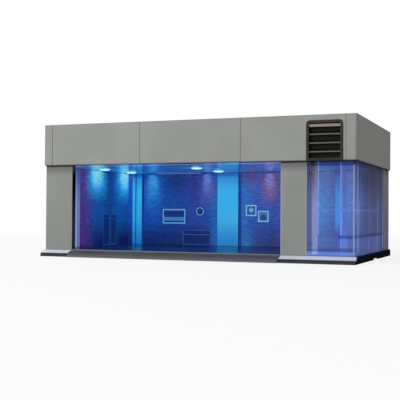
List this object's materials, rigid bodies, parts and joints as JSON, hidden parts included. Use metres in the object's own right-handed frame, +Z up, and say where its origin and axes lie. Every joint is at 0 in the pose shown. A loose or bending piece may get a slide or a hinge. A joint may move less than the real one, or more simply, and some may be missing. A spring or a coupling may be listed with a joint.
{
  "type": "toy garage",
  "caption": "Lit display garage for small die-cast cars: open bay with ramp, clear corner window, brick backdrop, lift-off roof unit with louvre, lamps and battery bay.",
  "frame": {"origin": "on the table under the middle of the object", "axes": "+Z up, -Y out of the front opening, +X to the right seen from the front"},
  "size_m": [0.24, 0.146, 0.1],
  "materials": {
    "wall_grey": "fine moulded texture, warm grey",
    "base_black": "black moulded plastic",
    "ramp_grey": "dark grey, fine grain like tarmac",
    "kerb_light": "light grey moulded plastic",
    "floor_gloss": "dark polished floor sheet",
    "clear_window": "clear moulded plastic with mullions",
    "printed_card": "printed brick wall, washed with blue light",
    "pilaster_blue": "pale moulded plastic in blue light",
    "louvre_brown": "dark brown moulded plastic",
    "ceiling_gloss": "glossy moulded plastic",
    "lamp_glow": "frosted lens, lit",
    "led_resin": "clear resin dome",
    "board_green": "circuit board with solder mask",
    "part_black": "black moulded part",
    "cell_jacket": "plain dark jacket on a steel can",
    "contact_steel": "plated spring steel",
    "lead_red": "flat insulated lead",
    "lead_dark": "flat insulated lead",
    "screw_steel": "plated screw"
  },
  "bodies": {
    "house": {"base_tray": "base_black", "entry_ramp": "ramp_grey", "kerb_left": "kerb_light", "kerb_right": "kerb_light", "floor_panel": "floor_gloss", "left_wall": "wall_grey", "rear_wall": "wall_grey", "right_pier": "wall_grey", "rear_corner_wall": "wall_grey", "corner_window": "clear_window", "left_backdrop": "printed_card", "rear_backdrop": "printed_card", "pilaster_left": "pilaster_blue", "pilaster_middle": "pilaster_blue", "pilaster_right": "pilaster_blue", "base_screws": "screw_steel"},
    "roof": {"roof_shell": "wall_grey", "louvre_vent": "louvre_brown", "ceiling_panel": "ceiling_gloss", "lamp_lens_1": "lamp_glow", "lamp_lens_2": "lamp_glow", "lamp_lens_3": "lamp_glow", "lamp_lens_4": "lamp_glow", "lamp_lens_5": "lamp_glow", "lamp_lens_6": "lamp_glow", "led_1": "led_resin", "led_2": "led_resin", "led_3": "led_resin", "led_4": "led_resin", "led_5": "led_resin", "led_6": "led_resin", "circuit_board": "board_green", "ir_receiver": "part_black", "control_chip": "part_black", "smoothing_capacitor": "part_black", "battery_tray": "base_black", "battery_1": "cell_jacket", "battery_2": "cell_jacket", "battery_3": "cell_jacket", "contacts_left": "contact_steel", "contacts_right": "contact_steel", "battery_leads": "lead_red", "switch_leads": "lead_dark", "switch_body": "part_black", "ceiling_screws": "screw_steel"},
    "battery_lid": {"battery_door": "wall_grey", "door_screw": "screw_steel"},
    "switch_slider": {"power_knob": "part_black"}
  },
  "joints": [
    {"name": "roof_lift", "type": "slide", "parent": "house", "child": "roof", "axis": [0, 0, 1], "range_m": [0, 0.06]},
    {"name": "battery_door_lift", "type": "slide", "parent": "roof", "child": "battery_lid", "axis": [0, 0, 1], "range_m": [0, 0.03]},
    {"name": "power_switch", "type": "slide", "parent": "roof", "child": "switch_slider", "axis": [1, 0, 0], "range_m": [0, 0.004]}
  ]
}
